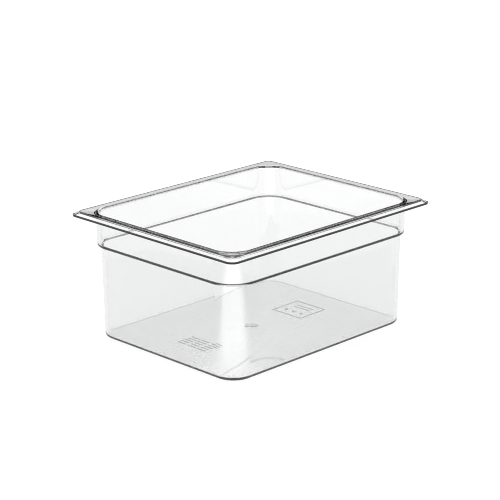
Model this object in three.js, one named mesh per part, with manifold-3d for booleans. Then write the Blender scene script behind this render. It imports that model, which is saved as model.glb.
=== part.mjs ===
// Deli food pan: a clear half-size (GN 1/2) pan, moulded in one piece.
// Millimetres. +X runs along the long side, +Y along the short side, +Z up.
// The origin is the centre of the underside, on the plane the pan stands on.

import * as THREE from "three";
import Module from "manifold-3d";

// ---- driving dimensions --------------------------------------------------

const LENGTH = 325; // over the flange, along X
const WIDTH = 265; // over the flange, along Y
const HEIGHT = 150;

// Every ring of the pan is a rounded rectangle, given by how far it is set in
// from the LENGTH x WIDTH outline, its height, and its corner radius.

const FLANGE = {
  edgeBottom: 144.8, // height of the turned-down edge's lower face
  edgeTop: 146.7, // where the edge's short upright face ends
  edgeWidth: 1.7, // width of the edge's lower face
  edgeRadius: 0.25,
  slopeInset: 6.2, // the slope reaches the flat top here
  slopeRadius: 1.2,
  underside: 147.2, // height of the underside behind the slope
  undersideInset: 6.1, // where the slope's inner face meets the underside
  rootUnderside: 146.5, // the underside drops this far towards the band
  cornerOuter: 10, // corner radius of the outline
  cornerTop: 8.5, // corner radius where the slope meets the flat top
};

const UPPER = {
  insetTop: 12.6, // outer face of the upper band, under the flange
  insetBottom: 13.0, // and just above the shoulder
  corner: 31,
  rootRadius: 1.2, // fillet between the flange and the band
};

const SHOULDER = {
  under: 109.8, // height of the outer ledge, which faces down
  over: 113.4, // height of the inner ledge, which faces up
  edgeRadius: 3.4, // convex side of each bend
  rootRadius: 0.3, // concave side
};

const LOWER = {
  insetTop: 16.9, // outer face just under the shoulder
  insetBase: 19.0, // the same face carried down to the base plane
  cornerTop: 28.5,
  cornerBase: 26,
};

const WALL = 3.0; // thickness of the walls
const FLOOR = 3.2; // thickness of the floor
const BASE_RADIUS = 5; // outside, between wall and base
const COVE_RADIUS = 3; // inside, between wall and floor
const MOUTH_RADIUS = 0.8; // between the flange's top and the inside

// Shallow raised marks on the inside of the floor.
const MARK_HEIGHT = 0.4;
const MARK_SINK = 0.6; // how far each mark reaches down into the floor
const GATE_RADIUS = 5.5; // small round boss over the moulding gate
const PLATE = { x: 77, length: 44, width: 46, line: 1.2 };
const PLATE_BARS = { offsets: [5, 11], length: 26 }; // offsets from the plate's middle
const DOTS = { x: 68, pitch: 12, radius: 2.2 }; // a row of three, inside the plate
const BLOCK = { x: -86, rows: 5, rowPitch: 5.4 }; // rows of dashes
const DASH = { perRow: 3, pitch: 16, length: 12.5, width: 1.6 };

const CORNER_STEPS = 9; // straight pieces in each quarter-round corner
const ARC_STEP = Math.PI / 9; // turn of the profile from one ring to the next

// ---- profile ----------------------------------------------------------------

// Inset of the lower wall's outer face at a height.
function lowerInset(z) {
  const share = z / SHOULDER.under;
  return LOWER.insetBase + share * (LOWER.insetTop - LOWER.insetBase);
}

// The profile's corners before they are rounded, from the middle of the underside
// up the outside, over the flange and down the inside to the floor. Each is
// [inset, height, corner radius of its ring, fillet radius].
function profileCorners() {
  const { under, over, edgeRadius, rootRadius } = SHOULDER;
  const innerBase = lowerInset(FLOOR) + WALL;
  const baseCorner = LOWER.cornerBase;
  const bandCorner = UPPER.corner - WALL;
  return [
    [LOWER.insetBase + 2 * BASE_RADIUS, 0, baseCorner - 2 * BASE_RADIUS, 0],
    [LOWER.insetBase, 0, baseCorner, BASE_RADIUS],
    [LOWER.insetTop, under, LOWER.cornerTop, rootRadius],
    [UPPER.insetBottom, under, UPPER.corner, edgeRadius],
    [UPPER.insetTop, FLANGE.rootUnderside, UPPER.corner, UPPER.rootRadius],
    [FLANGE.undersideInset, FLANGE.underside, FLANGE.cornerTop, FLANGE.slopeRadius],
    [FLANGE.edgeWidth, FLANGE.edgeBottom, FLANGE.cornerOuter, FLANGE.edgeRadius],
    [0, FLANGE.edgeBottom, FLANGE.cornerOuter, FLANGE.edgeRadius],
    [0, FLANGE.edgeTop, FLANGE.cornerOuter, FLANGE.edgeRadius],
    [FLANGE.slopeInset, HEIGHT, FLANGE.cornerTop, FLANGE.slopeRadius],
    [UPPER.insetTop + WALL, HEIGHT, bandCorner, MOUTH_RADIUS],
    [UPPER.insetBottom + WALL, over, bandCorner, rootRadius],
    [LOWER.insetTop + WALL, over, LOWER.cornerTop - WALL, edgeRadius],
    [innerBase, FLOOR, baseCorner - WALL, COVE_RADIUS],
    [innerBase + 2 * COVE_RADIUS, FLOOR, baseCorner - WALL - 2 * COVE_RADIUS, 0],
  ];
}

// The rings [inset, height, corner radius] that round one corner of the profile.
function fillet(before, corner, after) {
  const [inset, z, ringCorner, radius] = corner;
  if (radius === 0) {
    return [[inset, z, ringCorner]];
  }
  const here = new THREE.Vector2(inset, z);
  const toBefore = new THREE.Vector2(before[0], before[1]).sub(here);
  const toAfter = new THREE.Vector2(after[0], after[1]).sub(here);
  const reachBefore = toBefore.length();
  const reachAfter = toAfter.length();
  toBefore.normalize();
  toAfter.normalize();
  const turn = Math.PI - Math.acos(toBefore.dot(toAfter));
  const tangent = radius * Math.tan(turn / 2);
  const middle = toBefore.clone().add(toAfter).normalize();
  const centre = here.clone().addScaledVector(middle, radius / Math.cos(turn / 2));
  const start = here.clone().addScaledVector(toBefore, tangent).sub(centre);
  const end = here.clone().addScaledVector(toAfter, tangent).sub(centre);
  const startCorner = ringCorner + ((before[2] - ringCorner) * tangent) / reachBefore;
  const endCorner = ringCorner + ((after[2] - ringCorner) * tangent) / reachAfter;
  const steps = Math.max(2, Math.ceil(turn / ARC_STEP));
  const rings = [];
  for (let step = 0; step <= steps; step += 1) {
    const share = step / steps;
    const fromStart = Math.sin((1 - share) * turn) / Math.sin(turn);
    const fromEnd = Math.sin(share * turn) / Math.sin(turn);
    const point = centre
      .clone()
      .addScaledVector(start, fromStart)
      .addScaledVector(end, fromEnd);
    rings.push([point.x, point.y, startCorner + share * (endCorner - startCorner)]);
  }
  return rings;
}

function roundedProfile() {
  const corners = profileCorners();
  return corners.flatMap((corner, i) => fillet(corners[i - 1], corner, corners[i + 1]));
}

// ---- solid ----------------------------------------------------------------

// One ring of points: a rounded rectangle, anticlockwise seen from above.
function ring([inset, z, corner]) {
  const halfX = LENGTH / 2 - inset - corner;
  const halfY = WIDTH / 2 - inset - corner;
  const points = [];
  for (let quarter = 0; quarter < 4; quarter += 1) {
    const sx = quarter === 0 || quarter === 3 ? 1 : -1;
    const sy = quarter < 2 ? 1 : -1;
    for (let i = 0; i <= CORNER_STEPS; i += 1) {
      const a = ((quarter + i / CORNER_STEPS) * Math.PI) / 2;
      points.push([
        sx * halfX + corner * Math.cos(a),
        sy * halfY + corner * Math.sin(a),
        z,
      ]);
    }
  }
  return points;
}

// A closed body through a list of rings, with a flat cap at each end.
function loft(rings) {
  const count = rings[0].length;
  const vertices = rings.flat(2);
  const faces = [];
  for (let k = 0; k + 1 < rings.length; k += 1) {
    for (let i = 0; i < count; i += 1) {
      const j = (i + 1) % count;
      const a = k * count + i;
      const b = k * count + j;
      faces.push(a, b, b + count, a, b + count, a + count);
    }
  }
  const last = (rings.length - 1) * count;
  for (let i = 1; i + 1 < count; i += 1) {
    faces.push(0, i + 1, i);
    faces.push(last, last + i, last + i + 1);
  }
  return { vertices, faces };
}

const wasm = await Module();
wasm.setup();

function solid({ vertices, faces }) {
  return new wasm.Manifold(
    new wasm.Mesh({
      numProp: 3,
      vertProperties: new Float32Array(vertices),
      triVerts: new Uint32Array(faces),
    }),
  );
}

// A three.js geometry as a solid.
function solidOf(geometry) {
  const plain = geometry.index ? geometry.toNonIndexed() : geometry;
  const position = plain.getAttribute("position");
  const mesh = new wasm.Mesh({
    numProp: 3,
    vertProperties: new Float32Array(position.array),
    triVerts: Uint32Array.from({ length: position.count }, (_, i) => i),
  });
  mesh.merge();
  return new wasm.Manifold(mesh);
}

const MARK_DEPTH = MARK_HEIGHT + MARK_SINK;
const MARK_CENTRE = FLOOR + MARK_HEIGHT - MARK_DEPTH / 2;

function barMark(x, y, length, width) {
  const box = new THREE.BoxGeometry(length, width, MARK_DEPTH);
  return solidOf(box.translate(x, y, MARK_CENTRE));
}

function roundMark(x, y, radius) {
  const disc = new THREE.CylinderGeometry(radius, radius, MARK_DEPTH, 24);
  disc.rotateX(Math.PI / 2);
  return solidOf(disc.translate(x, y, MARK_CENTRE));
}

// A rectangle drawn as four raised lines.
function frameMark({ x, length, width, line }) {
  const outer = barMark(x, 0, length, width);
  const hole = new THREE.BoxGeometry(length - 2 * line, width - 2 * line, WALL);
  return outer.subtract(solidOf(hole.translate(x, 0, FLOOR)));
}

function floorMarks() {
  const marks = [roundMark(0, 0, GATE_RADIUS), frameMark(PLATE)];
  for (const offset of PLATE_BARS.offsets) {
    marks.push(barMark(PLATE.x + offset, 0, PLATE.line, PLATE_BARS.length));
  }
  for (const place of [-1, 0, 1]) {
    marks.push(roundMark(DOTS.x, place * DOTS.pitch, DOTS.radius));
  }
  for (let row = 0; row < BLOCK.rows; row += 1) {
    const x = BLOCK.x + (row - (BLOCK.rows - 1) / 2) * BLOCK.rowPitch;
    for (let dash = 0; dash < DASH.perRow; dash += 1) {
      const y = (dash - (DASH.perRow - 1) / 2) * DASH.pitch;
      marks.push(barMark(x, y, DASH.width, DASH.length));
    }
  }
  return marks;
}

function panSolid() {
  let pan = solid(loft(roundedProfile().map(ring)));
  for (const mark of floorMarks()) {
    pan = pan.add(mark);
  }
  return pan;
}

// ---- mesh -------------------------------------------------------------------

function geometryOf(body) {
  const mesh = body.getMesh();
  const positions = new Float32Array(mesh.numVert * 3);
  for (let i = 0; i < mesh.numVert; i += 1) {
    const from = i * mesh.numProp;
    positions.set(mesh.vertProperties.subarray(from, from + 3), i * 3);
  }
  return new THREE.BufferGeometry()
    .setAttribute("position", new THREE.BufferAttribute(positions, 3))
    .setIndex(new THREE.BufferAttribute(mesh.triVerts, 1));
}

const clearPlastic = new THREE.MeshStandardMaterial({
  color: 0xf2f4f5,
  roughness: 0.08,
  metalness: 0,
  transparent: true,
  opacity: 0.3,
});

const root = new THREE.Group();
root.name = "deli_food_pan";
const panBody = new THREE.Mesh(geometryOf(panSolid()), clearPlastic);
panBody.name = "pan_body";
root.add(panBody);

export default root;
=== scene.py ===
# Deli food pan: the looks of the clear half-size pan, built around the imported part.
# Blender works in metres, in the part's frame: +X along the long side, +Z up, the
# origin at the centre of the underside. The shape's own dimensions are in
# millimetres, as in the part's source.

import math

import bmesh
import bpy
import numpy as np
from mathutils import Matrix, Vector


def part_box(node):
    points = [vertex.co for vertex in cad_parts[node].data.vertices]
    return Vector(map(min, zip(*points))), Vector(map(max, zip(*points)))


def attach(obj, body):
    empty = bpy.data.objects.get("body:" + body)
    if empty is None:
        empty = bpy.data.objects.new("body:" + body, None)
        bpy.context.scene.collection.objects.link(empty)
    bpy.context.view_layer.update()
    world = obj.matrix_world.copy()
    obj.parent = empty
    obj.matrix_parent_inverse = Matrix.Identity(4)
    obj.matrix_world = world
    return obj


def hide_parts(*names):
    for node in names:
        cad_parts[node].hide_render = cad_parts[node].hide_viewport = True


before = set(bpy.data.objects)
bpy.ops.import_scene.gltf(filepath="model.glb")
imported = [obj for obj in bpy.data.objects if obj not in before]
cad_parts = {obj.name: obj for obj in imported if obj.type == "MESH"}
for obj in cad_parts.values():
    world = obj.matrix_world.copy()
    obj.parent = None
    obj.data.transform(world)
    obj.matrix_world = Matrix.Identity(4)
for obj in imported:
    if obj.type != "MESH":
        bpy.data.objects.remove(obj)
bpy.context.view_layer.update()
PAN_LOW, PAN_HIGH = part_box("pan_body")

MM = 0.001
LENGTH = (PAN_HIGH.x - PAN_LOW.x) / MM
WIDTH = (PAN_HIGH.y - PAN_LOW.y) / MM
HEIGHT = (PAN_HIGH.z - PAN_LOW.z) / MM

# ---- the pan's dimensions, in millimetres ------------------------------------

EDGE_BOTTOM = HEIGHT - 5.2  # lower face of the flange's turned-down edge
EDGE_TOP = HEIGHT - 3.3  # where the edge's short upright face ends
EDGE_WIDTH = 1.7  # width of the edge's lower face
UNDERSIDE = HEIGHT - 2.8  # underside of the flange behind the slope
ROOT_UNDER = HEIGHT - 3.5  # the underside drops this far towards the band
UNDERSIDE_INSET = 6.1  # where the slope's inner face meets the underside
SLOPE_INSET = 6.2  # where the slope reaches the flat top
OUTLINE_CORNER = 10.0
TOP_CORNER = 8.5

BAND_INSET_TOP = 12.6  # outer face of the upper band, under the flange
BAND_INSET_BOTTOM = 13.0  # and just above the shoulder
BAND_CORNER = 31.0

LEDGE_UNDER = 109.8  # the outer ledge of the shoulder, which faces down
LEDGE_OVER = 113.4  # the inner ledge, which faces up
WALL_INSET_TOP = 16.9  # outer face of the lower wall, under the shoulder
WALL_INSET_BASE = 19.0  # the same face carried down to the base plane
WALL_CORNER_TOP = 28.5
WALL_CORNER_BASE = 26.0

WALL = 3.0
FLOOR = 3.2

# Radii of the profile's corners.
BASE_RADIUS = 5.0
COVE_RADIUS = 3.0
LEDGE_RADIUS = 3.4  # convex side of each bend in the shoulder
LEDGE_ROOT_RADIUS = 0.3  # and its concave side
BAND_ROOT_RADIUS = 1.2
EDGE_RADIUS = 0.25
SLOPE_RADIUS = 1.2
MOUTH_RADIUS = 0.8

# Shallow raised marks on the floor: a gate boss, a framed plate and rows of dashes.
MARK_HEIGHT = 0.4
MARK_SINK = 0.6
GATE_RADIUS = 5.5
PLATE_X = 77.0
PLATE_LENGTH = 44.0
PLATE_WIDTH = 46.0
PLATE_LINE = 1.2
PLATE_BARS = (5.0, 11.0)  # how far each bar lies beyond the plate's middle
PLATE_BAR_LENGTH = 26.0
DOT_RADIUS = 2.2
DOT_X = PLATE_X - 9.0
DOT_PITCH = 12.0
BLOCK_X = -86.0
BLOCK_ROWS = 5
ROW_PITCH = 5.4
DASHES = 3
DASH_PITCH = 16.0
DASH_LENGTH = 12.5
DASH_WIDTH = 1.6

CORNER_STEPS = 28  # straight pieces in each quarter-round corner
DISC_SEGMENTS = 48
ARC_STEP = math.radians(9.0)  # turn of the profile from one ring to the next
SMOOTH_LIMIT = math.radians(32.0)  # faces that meet more sharply keep a crease


# ---- camera --------------------------------------------------------------------

AIM = Vector((0.0, 0.0, 0.075))
AZIMUTH = math.radians(-44.98)
ELEVATION = math.radians(17.69)
ROLL = math.radians(-0.30)
DISTANCE = 2.0870
SLIDE_RIGHT = -0.00277
SLIDE_UP = 0.01960
LENS = 129.22
SENSOR = 36.0


def make_camera():
    back = Vector(
        (
            math.sin(AZIMUTH) * math.cos(ELEVATION),
            -math.cos(AZIMUTH) * math.cos(ELEVATION),
            math.sin(ELEVATION),
        )
    )
    level = Vector((math.cos(AZIMUTH), math.sin(AZIMUTH), 0.0))
    upright = back.cross(level)
    right = math.cos(ROLL) * level + math.sin(ROLL) * upright
    up = math.cos(ROLL) * upright - math.sin(ROLL) * level

    data = bpy.data.cameras.new("camera")
    data.lens = LENS
    data.sensor_width = SENSOR
    data.clip_end = 100.0
    camera = bpy.data.objects.new("camera", data)
    turn = Matrix((right, up, back)).transposed().to_4x4()
    place = AIM + right * SLIDE_RIGHT + up * SLIDE_UP + back * DISTANCE
    camera.matrix_world = Matrix.Translation(place) @ turn
    bpy.context.scene.collection.objects.link(camera)
    bpy.context.scene.camera = camera


# ---- profile ---------------------------------------------------------------------


def wall_inset(z):
    """Inset of the lower wall's outer face at a height."""
    share = z / LEDGE_UNDER
    return WALL_INSET_BASE + share * (WALL_INSET_TOP - WALL_INSET_BASE)


def wall_corner(z):
    """Corner radius of the lower wall's outer face at a height."""
    share = z / LEDGE_UNDER
    return WALL_CORNER_BASE + share * (WALL_CORNER_TOP - WALL_CORNER_BASE)


# The profile's corner points, each with its inset from the outline, height, the
# corner radius of its ring, and the fillet radius that rounds the profile there.
def profile_corners():
    under_base = WALL_INSET_BASE + 2 * BASE_RADIUS
    on_floor = wall_inset(FLOOR) + WALL + 2 * COVE_RADIUS
    inner_wall = wall_inset(FLOOR) + WALL
    inner_top = WALL_INSET_TOP + WALL
    return [
        (under_base, 0.0, WALL_CORNER_BASE - 2 * BASE_RADIUS, 0.0),
        (WALL_INSET_BASE, 0.0, WALL_CORNER_BASE, BASE_RADIUS),
        (WALL_INSET_TOP, LEDGE_UNDER, WALL_CORNER_TOP, LEDGE_ROOT_RADIUS),
        (BAND_INSET_BOTTOM, LEDGE_UNDER, BAND_CORNER, LEDGE_RADIUS),
        (BAND_INSET_TOP, ROOT_UNDER, BAND_CORNER, BAND_ROOT_RADIUS),
        (UNDERSIDE_INSET, UNDERSIDE, TOP_CORNER, SLOPE_RADIUS),
        (EDGE_WIDTH, EDGE_BOTTOM, OUTLINE_CORNER, EDGE_RADIUS),
        (0.0, EDGE_BOTTOM, OUTLINE_CORNER, EDGE_RADIUS),
        (0.0, EDGE_TOP, OUTLINE_CORNER, EDGE_RADIUS),
        (SLOPE_INSET, HEIGHT, TOP_CORNER, SLOPE_RADIUS),
        (BAND_INSET_TOP + WALL, HEIGHT, BAND_CORNER - WALL, MOUTH_RADIUS),
        (BAND_INSET_BOTTOM + WALL, LEDGE_OVER, BAND_CORNER - WALL, LEDGE_ROOT_RADIUS),
        (inner_top, LEDGE_OVER, WALL_CORNER_TOP - WALL, LEDGE_RADIUS),
        (inner_wall, FLOOR, WALL_CORNER_BASE - WALL, COVE_RADIUS),
        (on_floor, FLOOR, WALL_CORNER_BASE - WALL - 2 * COVE_RADIUS, 0.0),
    ]


def rounded_profile(corners):
    """The profile's rings, [inset, height, ring corner radius], with its fillets."""
    rings = []
    for i, (inset, z, ring_corner, radius) in enumerate(corners):
        here = np.array((inset, z))
        if radius == 0.0:
            rings.append((inset, z, ring_corner))
            continue
        before, after = (np.array(c[:3]) for c in (corners[i - 1], corners[i + 1]))
        to_before, to_after = before[:2] - here, after[:2] - here
        reach_before, reach_after = (np.linalg.norm(v) for v in (to_before, to_after))
        to_before, to_after = to_before / reach_before, to_after / reach_after
        opening = math.acos(np.clip(to_before @ to_after, -1.0, 1.0))
        turn = math.pi - opening
        tangent = radius * math.tan(turn / 2)
        middle = to_before + to_after
        centre = here + middle / np.linalg.norm(middle) * radius / math.sin(opening / 2)
        start = here + to_before * tangent
        end = here + to_after * tangent
        corner_start = ring_corner + (before[2] - ring_corner) * tangent / reach_before
        corner_end = ring_corner + (after[2] - ring_corner) * tangent / reach_after
        steps = max(2, math.ceil(turn / ARC_STEP))
        for step in range(steps + 1):
            t = step / steps
            a, b = start - centre, end - centre
            point = centre + (
                math.sin((1 - t) * turn) * a + math.sin(t * turn) * b
            ) / math.sin(turn)
            rings.append((*point, corner_start + t * (corner_end - corner_start)))
    return rings


def ring_points(inset, z, corner):
    """A rounded rectangle of points, anticlockwise seen from above."""
    half_x = LENGTH / 2 - inset - corner
    half_y = WIDTH / 2 - inset - corner
    points = []
    for quarter in range(4):
        sx = 1 if quarter in (0, 3) else -1
        sy = 1 if quarter < 2 else -1
        for i in range(CORNER_STEPS + 1):
            a = (quarter + i / CORNER_STEPS) * math.pi / 2
            x = sx * half_x + corner * math.cos(a)
            y = sy * half_y + corner * math.sin(a)
            points.append((x * MM, y * MM, z * MM))
    return points


# ---- meshes ------------------------------------------------------------------------


def object_from(name, vertices, faces):
    mesh = bpy.data.meshes.new(name)
    mesh.from_pydata(vertices, [], faces)
    mesh.validate()
    made = bpy.data.objects.new(name, mesh)
    bpy.context.scene.collection.objects.link(made)
    return made


def pan_shell(name):
    """The pan's closed body, lofted through its profile's rings."""
    rings = rounded_profile(profile_corners())
    count = 4 * (CORNER_STEPS + 1)
    vertices = [p for ring in rings for p in ring_points(*ring)]
    faces = [tuple(reversed(range(count)))]
    for k in range(len(rings) - 1):
        for i in range(count):
            a, b = k * count + i, k * count + (i + 1) % count
            faces.append((a, b, b + count, a + count))
    last = (len(rings) - 1) * count
    faces.append(tuple(range(last, last + count)))
    return object_from(name, vertices, faces)


def add_bar(bm, x, y, length, width):
    low, high = FLOOR - MARK_SINK, FLOOR + MARK_HEIGHT
    size = Matrix.Diagonal((length * MM, width * MM, (high - low) * MM, 1.0))
    place = Matrix.Translation(Vector((x, y, (low + high) / 2)) * MM)
    bmesh.ops.create_cube(bm, size=1.0, matrix=place @ size)


def add_disc(bm, x, y, radius):
    low, high = FLOOR - MARK_SINK, FLOOR + MARK_HEIGHT
    bmesh.ops.create_cone(
        bm,
        cap_ends=True,
        segments=DISC_SEGMENTS,
        radius1=radius * MM,
        radius2=radius * MM,
        depth=(high - low) * MM,
        matrix=Matrix.Translation(Vector((x, y, (low + high) / 2)) * MM),
    )


def floor_marks(name):
    """All the raised marks as one tool mesh for the union with the floor."""
    bm = bmesh.new()
    add_disc(bm, 0.0, 0.0, GATE_RADIUS)
    side = (PLATE_WIDTH - PLATE_LINE) / 2
    end = (PLATE_LENGTH - PLATE_LINE) / 2
    for sign in (-1, 1):
        add_bar(bm, PLATE_X, sign * side, PLATE_LENGTH, PLATE_LINE)
        short = PLATE_WIDTH - 2 * PLATE_LINE
        add_bar(bm, PLATE_X + sign * end, 0.0, PLATE_LINE, short)
    for x in PLATE_BARS:
        add_bar(bm, PLATE_X + x, 0.0, PLATE_LINE, PLATE_BAR_LENGTH)
    for i in (-1, 0, 1):
        add_disc(bm, DOT_X, i * DOT_PITCH, DOT_RADIUS)
    for row in range(BLOCK_ROWS):
        x = BLOCK_X + (row - (BLOCK_ROWS - 1) / 2) * ROW_PITCH
        for dash in range(DASHES):
            y = (dash - (DASHES - 1) / 2) * DASH_PITCH
            add_bar(bm, x, y, DASH_WIDTH, DASH_LENGTH)
    mesh = bpy.data.meshes.new(name)
    bm.to_mesh(mesh)
    bm.free()
    made = bpy.data.objects.new(name, mesh)
    bpy.context.scene.collection.objects.link(made)
    return made


def joined(body, tool):
    """body with tool's solids added to it, as one mesh."""
    union = body.modifiers.new("union", "BOOLEAN")
    union.operation = "UNION"
    union.solver = "EXACT"
    union.use_self = True
    union.object = tool
    depsgraph = bpy.context.evaluated_depsgraph_get()
    mesh = bpy.data.meshes.new_from_object(body.evaluated_get(depsgraph))
    body.modifiers.clear()
    body.data = mesh
    bpy.data.objects.remove(tool)
    return body


def smooth_by_area(obj):
    """Area-weighted normals, so that wide flat faces stay flat beside their fillets.
    Faces that meet at more than SMOOTH_LIMIT keep a crease."""
    mesh = obj.data
    faces = len(mesh.polygons)
    loops = len(mesh.loops)
    normal = np.zeros(faces * 3)
    area = np.zeros(faces)
    mesh.polygons.foreach_get("normal", normal)
    mesh.polygons.foreach_get("area", area)
    normal = normal.reshape(-1, 3)
    loop_vertex = np.zeros(loops, int)
    mesh.loops.foreach_get("vertex_index", loop_vertex)
    loop_face = np.zeros(loops, int)
    for polygon in mesh.polygons:
        loop_face[polygon.loop_start : polygon.loop_start + polygon.loop_total] = (
            polygon.index
        )
    around = [[] for _ in mesh.vertices]
    for loop, vertex in enumerate(loop_vertex):
        around[vertex].append(loop_face[loop])
    limit = math.cos(SMOOTH_LIMIT)
    result = np.zeros((loops, 3))
    for loop, vertex in enumerate(loop_vertex):
        near = around[vertex]
        own = normal[loop_face[loop]]
        keep = normal[near] @ own > limit
        total = (normal[near] * (area[near] * keep)[:, None]).sum(0)
        result[loop] = total / np.linalg.norm(total)
    mesh.polygons.foreach_set("use_smooth", [True] * faces)
    mesh.normals_split_custom_set([tuple(n) for n in result])
    mesh.update()


# ---- materials -----------------------------------------------------------------------

PLASTIC_CLEAR = (0.99, 0.995, 0.995, 1.0)
# The black towards which the grain's specks, the painted shade on the raised marks and the
# painted dark reflection on the edge and slope top darken the clear colour.
GRAIN_AND_PAINTED_SHADE_COLOUR = (0.0, 0.0, 0.0, 1.0)
PLASTIC_IOR = 1.585
ABSORPTION_COLOUR = (0.0, 0.0, 0.0, 1.0)
ABSORPTION_DENSITY = 20.0

# The turned-down edge carries painted dark reflection: its base colour is darkened to
# stand in for the dark room it mirrors. These say how far the painted reflection reaches
# in from the outline, where it starts above the lower face and where it ends above the
# upright face, in millimetres.
PAINTED_EDGE_REFLECTION_DEPTH = 1.0
PAINTED_EDGE_REFLECTION_START = 0.05
PAINTED_EDGE_REFLECTION_RISE = 0.5

# So does a strip along the top of the slope, on the flat top and just below it.
PAINTED_CREST_REFLECTION = 0.95
PAINTED_CREST_WIDTH = 1.8
PAINTED_CREST_DEPTH = 0.35

# The raised marks carry painted shade, a darker base colour that stands in for the dark
# refraction at their edges. It lies between these two heights, inside an area with these
# half sizes.
PAINTED_MARK_SHADE = 0.45
PAINTED_MARK_SHADE_LOW = FLOOR + 0.2
PAINTED_MARK_SHADE_HIGH = FLOOR + 1.0
MARK_AREA_X = 118.0
MARK_AREA_Y = 88.0
MARK_AREA_MARGIN = 0.1

# The grain covers the underside and fades out between these two heights.
GRAIN_FADE_LOW = 2.4
GRAIN_FADE_HIGH = 3.1
GRAIN_SCALE = 310.0
GRAIN_DETAIL = 2.0
GRAIN_ROUGHNESS = 0.7
SPECKLE_FROM = 0.45  # noise levels where the grain's dark specks start
SPECKLE_FULL = 0.58  # and are darkest
SPECKLE_TINT = 0.26
GRAIN_MATTE = 0.2
GRAIN_BUMP = 0.2
GRAIN_BUMP_HEIGHT = 0.2

# Faint wear in the gloss.
WEAR_SCALE = 35.0
WEAR_DETAIL = 4.0
WEAR_FROM = 0.35
WEAR_FULL = 0.75
WEAR_MATTE = 0.03


class Nodes:
    """Short calls for building a node tree."""

    def __init__(self, tree):
        self.tree = tree

    def add(self, kind, **settings):
        node = self.tree.nodes.new(kind)
        for key, value in settings.items():
            setattr(node, key, value)
        return node

    def link(self, output, target):
        self.tree.links.new(output, target)

    def ramp(self, value, low, high, at_low, at_high):
        """value mapped smoothly from low..high to at_low..at_high."""
        node = self.add("ShaderNodeMapRange", interpolation_type="SMOOTHSTEP")
        self.link(value, node.inputs["Value"])
        for name, number in (
            ("From Min", low),
            ("From Max", high),
            ("To Min", at_low),
            ("To Max", at_high),
        ):
            node.inputs[name].default_value = number
        return node.outputs["Result"]

    def math(self, operation, a, b):
        node = self.add("ShaderNodeMath", operation=operation)
        for socket, value in zip(node.inputs, (a, b)):
            if isinstance(value, (int, float)):
                socket.default_value = value
            else:
                self.link(value, socket)
        return node.outputs["Value"]

    def noise(self, vector, scale, detail=2.0, roughness=0.5):
        node = self.add("ShaderNodeTexNoise")
        self.link(vector, node.inputs["Vector"])
        node.inputs["Scale"].default_value = scale
        node.inputs["Detail"].default_value = detail
        node.inputs["Roughness"].default_value = roughness
        return node.outputs["Fac"]


def past_box(nodes, place, half_x, half_y):
    """How far a point lies outside a rectangle in plan, with round corners."""
    split = nodes.add("ShaderNodeSeparateXYZ")
    nodes.link(place, split.inputs["Vector"])
    total = None
    for axis, half in (("X", half_x), ("Y", half_y)):
        size = nodes.math("ABSOLUTE", split.outputs[axis], 0.0)
        over = nodes.math("MAXIMUM", nodes.math("SUBTRACT", size, half), 0.0)
        square = nodes.math("POWER", over, 2.0)
        total = square if total is None else nodes.math("ADD", total, square)
    return nodes.math("SQRT", total, 0.0)


def between(nodes, value, low, high):
    """1 where value lies between low and high, and 0 elsewhere."""
    above = nodes.math("GREATER_THAN", value, low)
    below = nodes.math("LESS_THAN", value, high)
    return nodes.math("MULTIPLY", above, below)


def painted_rim_reflection(nodes, place, height):
    """Painted dark reflection on the turned-down edge and the top of the slope: how much
    darker their base colour is made.
    """
    corner = OUTLINE_CORNER * MM
    core_x = LENGTH / 2 * MM - corner
    core_y = WIDTH / 2 * MM - corner
    out = past_box(nodes, place, core_x, core_y)  # equals corner at the outline
    low = (EDGE_BOTTOM + PAINTED_EDGE_REFLECTION_START) * MM
    high = (EDGE_TOP + PAINTED_EDGE_REFLECTION_RISE) * MM
    outer = nodes.math("GREATER_THAN", out, corner - PAINTED_EDGE_REFLECTION_DEPTH * MM)
    edge = nodes.math("MULTIPLY", outer, between(nodes, height, low, high))
    reach = (SLOPE_INSET + PAINTED_CREST_WIDTH) * MM
    near_slope = nodes.math("GREATER_THAN", out, corner - reach)
    at_top = nodes.math("GREATER_THAN", height, (HEIGHT - PAINTED_CREST_DEPTH) * MM)
    crest = nodes.math("MULTIPLY", near_slope, at_top)
    return nodes.math("MAXIMUM", edge, nodes.math("MULTIPLY", crest, PAINTED_CREST_REFLECTION))


def painted_mark_shade(nodes, place, height):
    """Painted shade on the raised marks on the floor: how much darker their base colour is
    made.
    """
    past_area = past_box(nodes, place, MARK_AREA_X * MM, MARK_AREA_Y * MM)
    in_area = nodes.math("LESS_THAN", past_area, MARK_AREA_MARGIN * MM)
    raised = between(nodes, height, PAINTED_MARK_SHADE_LOW * MM, PAINTED_MARK_SHADE_HIGH * MM)
    marks = nodes.math("MULTIPLY", in_area, raised)
    return nodes.math("MULTIPLY", marks, PAINTED_MARK_SHADE)


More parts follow.
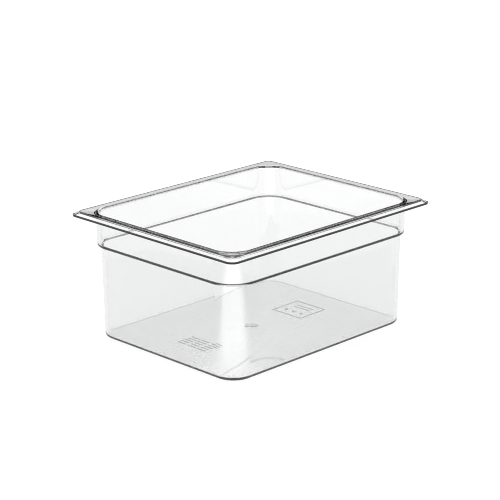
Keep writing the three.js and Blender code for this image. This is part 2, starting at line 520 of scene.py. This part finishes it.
def clear_plastic():
    """Clear polycarbonate, with a fine matte grain moulded into the underside, painted dark
    reflection on the turned-down edge and the top of the slope, and painted shade on the
    raised marks.
    """
    material = bpy.data.materials.new("clear_polycarbonate")
    material.use_nodes = True
    nodes = Nodes(material.node_tree)
    shader = material.node_tree.nodes["Principled BSDF"]
    shader.inputs["Transmission Weight"].default_value = 1.0
    shader.inputs["IOR"].default_value = PLASTIC_IOR
    absorption = nodes.add("ShaderNodeVolumeAbsorption")
    absorption.inputs["Color"].default_value = ABSORPTION_COLOUR
    absorption.inputs["Density"].default_value = ABSORPTION_DENSITY
    output = material.node_tree.nodes["Material Output"]
    nodes.link(absorption.outputs["Volume"], output.inputs["Volume"])

    place = nodes.add("ShaderNodeTexCoord").outputs["Object"]
    split = nodes.add("ShaderNodeSeparateXYZ")
    nodes.link(place, split.inputs["Vector"])
    height = split.outputs["Z"]
    underside = nodes.ramp(height, GRAIN_FADE_LOW * MM, GRAIN_FADE_HIGH * MM, 1.0, 0.0)
    grain = nodes.noise(place, GRAIN_SCALE, GRAIN_DETAIL, GRAIN_ROUGHNESS)

    specks = nodes.ramp(grain, SPECKLE_FROM, SPECKLE_FULL, 0.0, SPECKLE_TINT)
    specks = nodes.math("MULTIPLY", underside, specks)
    # The grain's specks on the underside, the painted shade on the raised marks and the
    # painted dark reflection on the turned-down edge and the top of the slope darken the
    # base colour.
    dark = nodes.math("ADD", specks, painted_mark_shade(nodes, place, height))
    dark = nodes.math("MAXIMUM", dark, painted_rim_reflection(nodes, place, height))
    grain_and_shade_mix = nodes.add("ShaderNodeMix", data_type="RGBA")
    nodes.link(dark, grain_and_shade_mix.inputs["Factor"])
    grain_and_shade_mix.inputs["A"].default_value = PLASTIC_CLEAR
    grain_and_shade_mix.inputs["B"].default_value = GRAIN_AND_PAINTED_SHADE_COLOUR
    nodes.link(grain_and_shade_mix.outputs["Result"], shader.inputs["Base Color"])

    wear = nodes.noise(place, WEAR_SCALE, WEAR_DETAIL)
    wear = nodes.ramp(wear, WEAR_FROM, WEAR_FULL, 0.0, WEAR_MATTE)
    matte = nodes.math("MULTIPLY", underside, GRAIN_MATTE)
    nodes.link(nodes.math("ADD", wear, matte), shader.inputs["Roughness"])

    bump = nodes.add("ShaderNodeBump")
    bump.inputs["Distance"].default_value = GRAIN_BUMP_HEIGHT * MM
    nodes.link(nodes.math("MULTIPLY", underside, GRAIN_BUMP), bump.inputs["Strength"])
    nodes.link(grain, bump.inputs["Height"])
    nodes.link(bump.outputs["Normal"], shader.inputs["Normal"])
    return material


# ---- the pan ---------------------------------------------------------------------------


def make_pan():
    pan = joined(pan_shell("clear_pan"), floor_marks("marks"))
    smooth_by_area(pan)
    pan.data.materials.clear()
    pan.data.materials.append(clear_plastic())
    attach(pan, "root")
    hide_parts("pan_body")


# ---- studio ------------------------------------------------------------------------------

FLOOR_HALF = 12.0
FLOOR_GAP = 0.0003  # keeps the floor's plane off the pan's underside
FLOOR_LEVEL = 0.91  # the paper's own light
PAPER_DARK = (0.12, 0.12, 0.12, 1.0)
PAPER_LIGHT = (0.13, 0.13, 0.13, 1.0)
MOTTLE_SCALE = 2.0

# A soft spot above the paper in front of the front corner.
FRONT_LIGHT_PLACE = (-0.285, -0.255, 1.5)
FRONT_LIGHT_POWER = 1700.0
FRONT_LIGHT_CONE = math.radians(18.0)
FRONT_LIGHT_BLEND = 0.5
FRONT_LIGHT_RADIUS = 0.05

# The light all round, by the sine of the height at which it is seen.
BACKDROP_TOP = math.sin(math.radians(4.0))  # the pale backdrop starts to end here
BACKDROP_FADE = math.sin(math.radians(9.0))
OVERHEAD_FADE = math.sin(math.radians(34.0))  # the overhead light starts here
OVERHEAD_FULL = math.sin(math.radians(44.0))
BACKDROP_LEVEL = 1.0
OVERHEAD_LEVEL = 1.6
DIM_LEVEL = 0.02

# A soft band of light behind the pan, which the level faces mirror.
BACK_LIGHT_LEVEL = 1.35
BACK_LIGHT_FOOT = (math.sin(math.radians(17.2)), math.sin(math.radians(19.0)))
BACK_LIGHT_TOP = (math.sin(math.radians(28.0)), math.sin(math.radians(32.0)))
BACK_LIGHT_SIDES = (0.3, 0.5)  # how squarely a direction points to the back


def floor_material():
    """Plain pale matte paper. Most of its light is its own, so that the pan throws
    hardly any shadow on it."""
    material = bpy.data.materials.new("studio_floor")
    material.use_nodes = True
    nodes = Nodes(material.node_tree)
    shader = material.node_tree.nodes["Principled BSDF"]
    shader.inputs["Roughness"].default_value = 1.0
    shader.inputs["Specular IOR Level"].default_value = 0.0
    shader.inputs["Emission Color"].default_value = (1.0, 1.0, 1.0, 1.0)
    shader.inputs["Emission Strength"].default_value = FLOOR_LEVEL
    place = nodes.add("ShaderNodeTexCoord").outputs["Object"]
    mottle = nodes.noise(place, MOTTLE_SCALE)
    mix = nodes.add("ShaderNodeMix", data_type="RGBA")
    nodes.link(mottle, mix.inputs["Factor"])
    mix.inputs["A"].default_value = PAPER_DARK
    mix.inputs["B"].default_value = PAPER_LIGHT
    nodes.link(mix.outputs["Result"], shader.inputs["Base Color"])
    return material


def make_floor():
    corners = [(-1, -1), (1, -1), (1, 1), (-1, 1)]
    vertices = [(x * FLOOR_HALF, y * FLOOR_HALF, -FLOOR_GAP) for x, y in corners]
    floor = object_from("studio_floor", vertices, [(0, 1, 2, 3)])
    floor.data.materials.append(floor_material())


def make_world():
    """A pale backdrop all round, a dim room above it, a soft light overhead and a
    low back light."""
    world = bpy.data.worlds.new("studio")
    world.use_nodes = True
    bpy.context.scene.world = world
    nodes = Nodes(world.node_tree)
    background = world.node_tree.nodes["Background"]
    background.inputs["Color"].default_value = (1.0, 1.0, 1.0, 1.0)
    direction = nodes.add("ShaderNodeTexCoord").outputs["Generated"]
    split = nodes.add("ShaderNodeSeparateXYZ")
    nodes.link(direction, split.inputs["Vector"])
    height = split.outputs["Z"]
    backdrop = nodes.ramp(height, BACKDROP_TOP, BACKDROP_FADE, BACKDROP_LEVEL, DIM_LEVEL)
    overhead = nodes.ramp(height, OVERHEAD_FADE, OVERHEAD_FULL, 0.0, OVERHEAD_LEVEL)
    back = nodes.ramp(height, *BACK_LIGHT_FOOT, 0.0, BACK_LIGHT_LEVEL)
    back = nodes.math("MULTIPLY", back, nodes.ramp(height, *BACK_LIGHT_TOP, 1.0, 0.0))
    away = nodes.math("ADD", split.outputs["X"], split.outputs["Y"])
    away = nodes.math("MULTIPLY", away, math.sqrt(0.5))
    back = nodes.math("MULTIPLY", back, nodes.ramp(away, *BACK_LIGHT_SIDES, 0.0, 1.0))
    total = nodes.math("ADD", nodes.math("ADD", backdrop, overhead), back)
    nodes.link(total, background.inputs["Strength"])


def make_front_light():
    light = bpy.data.lights.new("front_light", "SPOT")
    light.energy = FRONT_LIGHT_POWER
    light.spot_size = FRONT_LIGHT_CONE
    light.spot_blend = FRONT_LIGHT_BLEND
    light.shadow_soft_size = FRONT_LIGHT_RADIUS
    lamp = bpy.data.objects.new("front_light", light)
    lamp.location = FRONT_LIGHT_PLACE
    bpy.context.scene.collection.objects.link(lamp)


def set_look():
    scene = bpy.context.scene
    scene.view_settings.view_transform = "Standard"
    scene.cycles.use_denoising = True
    scene.cycles.filter_width = 1.0
    scene.cycles.max_bounces = 24
    scene.cycles.transmission_bounces = 24
    scene.cycles.glossy_bounces = 12
    scene.cycles.diffuse_bounces = 4


make_camera()
make_pan()
make_floor()
make_front_light()
make_world()
set_look()
